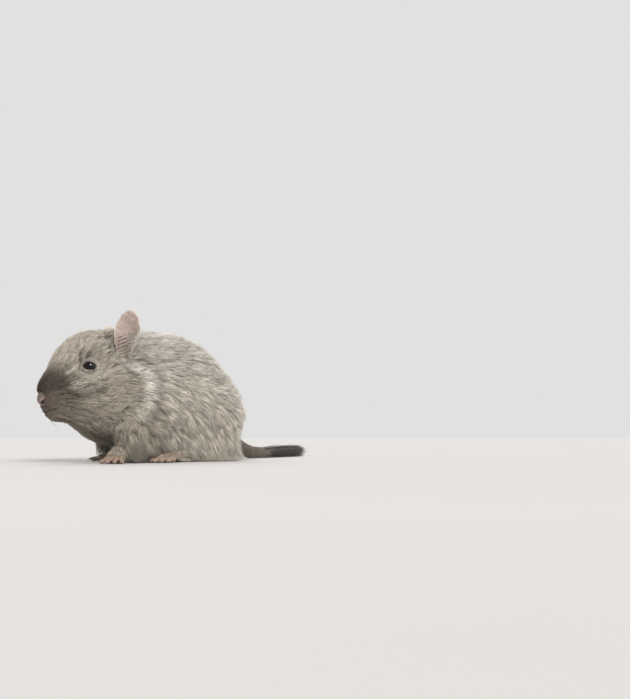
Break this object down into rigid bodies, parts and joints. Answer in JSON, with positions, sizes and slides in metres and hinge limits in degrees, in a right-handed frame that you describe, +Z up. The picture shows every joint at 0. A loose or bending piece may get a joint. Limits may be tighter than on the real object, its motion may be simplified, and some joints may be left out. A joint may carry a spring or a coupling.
{
  "type": "degu",
  "caption": "Life-size still model of a crouching degu, head turned a little aside, tail with its brush laid on the floor behind.",
  "frame": {"origin": "on the floor under the middle of the whole, with the tail", "axes": "the nose points to -X, the animal's left side faces -Y, +Z is up"},
  "size_m": [0.2, 0.0636, 0.0716],
  "materials": {
    "coat": "soft short fur, grey to sandy beige",
    "ear_skin": "thin bare skin with down",
    "nose_skin": "bare moist skin",
    "paw_skin": "bare skin with short down",
    "eye_gloss": "wet gloss",
    "brush_hair": "long coarse hair"
  },
  "bodies": {
    "root": {"head": "coat", "neck": "coat", "torso": "coat", "thigh_left": "coat", "thigh_right": "coat", "foreleg_left": "coat", "foreleg_right": "coat", "forepaw_left": "paw_skin", "forepaw_right": "paw_skin", "hindfoot_left": "paw_skin", "hindfoot_right": "paw_skin", "ear_left": "ear_skin", "ear_right": "ear_skin", "eye_left": "eye_gloss", "eye_right": "eye_gloss", "nose": "nose_skin", "tail_base": "coat", "tail_middle": "coat", "tail_brush": "brush_hair"}
  },
  "joints": []
}
